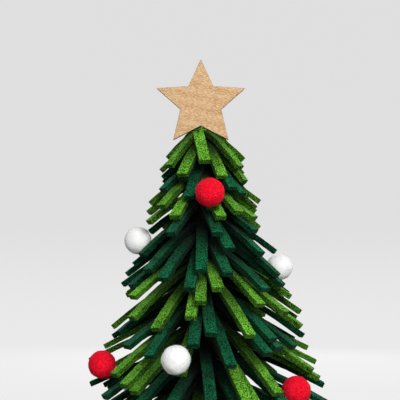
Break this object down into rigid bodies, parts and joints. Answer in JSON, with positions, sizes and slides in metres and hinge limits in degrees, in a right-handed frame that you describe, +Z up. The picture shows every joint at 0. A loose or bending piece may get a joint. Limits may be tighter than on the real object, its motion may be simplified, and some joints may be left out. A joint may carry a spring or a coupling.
{
  "type": "fabric christmas tree",
  "caption": "Table-top tree of layered, drooping felt strips in bright and dark green on a wooden stem and base, dressed with felt balls and topped with a flat wooden star.",
  "frame": {"origin": "centre of the base's underside, on the stem's axis", "axes": "+Z up along the stem; the star's flat face and the pictured side face -Y; +X is to the viewer's right"},
  "size_m": [0.2973, 0.2959, 0.4572],
  "materials": {
    "felt_bright_green": "thick wool felt, heathered",
    "felt_dark_green": "thick wool felt, heathered",
    "felt_red": "needle-felted wool",
    "felt_white": "needle-felted wool",
    "star_wood": "bare sanded pale wood",
    "stem_wood": "bare sanded wood",
    "steel": "plain zinc-plated steel"
  },
  "bodies": {
    "root": {"base_disc": "stem_wood", "trunk": "stem_wood", "base_screw": "steel", "centre_rod": "stem_wood", "star_pin": "steel", "star": "star_wood", "felt_layer_01": "felt_bright_green", "felt_layer_02": "felt_bright_green", "felt_layer_03": "felt_dark_green", "felt_layer_04": "felt_dark_green", "felt_layer_05": "felt_bright_green", "felt_layer_06": "felt_bright_green", "felt_layer_07": "felt_bright_green", "felt_layer_08": "felt_dark_green", "felt_layer_09": "felt_dark_green", "felt_layer_10": "felt_dark_green", "felt_layer_11": "felt_dark_green", "felt_layer_12": "felt_dark_green", "felt_layer_13": "felt_bright_green", "felt_layer_14": "felt_bright_green", "felt_layer_15": "felt_bright_green", "felt_layer_16": "felt_dark_green", "felt_layer_17": "felt_dark_green", "felt_layer_18": "felt_dark_green", "felt_layer_19": "felt_bright_green", "felt_layer_20": "felt_bright_green", "felt_layer_21": "felt_bright_green", "felt_layer_22": "felt_dark_green", "felt_layer_23": "felt_dark_green", "felt_layer_24": "felt_dark_green", "felt_layer_25": "felt_dark_green", "felt_layer_26": "felt_bright_green", "felt_layer_27": "felt_bright_green", "felt_layer_28": "felt_bright_green", "felt_layer_29": "felt_bright_green", "felt_layer_30": "felt_dark_green", "felt_layer_31": "felt_dark_green", "felt_layer_32": "felt_dark_green", "felt_layer_33": "felt_bright_green", "felt_layer_34": "felt_bright_green", "felt_layer_35": "felt_bright_green", "felt_layer_36": "felt_bright_green", "ball_red_01": "felt_red", "ball_white_02": "felt_white", "ball_white_03": "felt_white", "ball_white_04": "felt_white", "ball_red_05": "felt_red", "ball_red_06": "felt_red", "ball_red_07": "felt_red", "ball_white_08": "felt_white", "ball_red_09": "felt_red", "ball_white_10": "felt_white", "ball_red_11": "felt_red", "ball_red_12": "felt_red", "ball_white_13": "felt_white", "ball_white_14": "felt_white", "ball_red_15": "felt_red", "ball_white_16": "felt_white"}
  },
  "joints": []
}
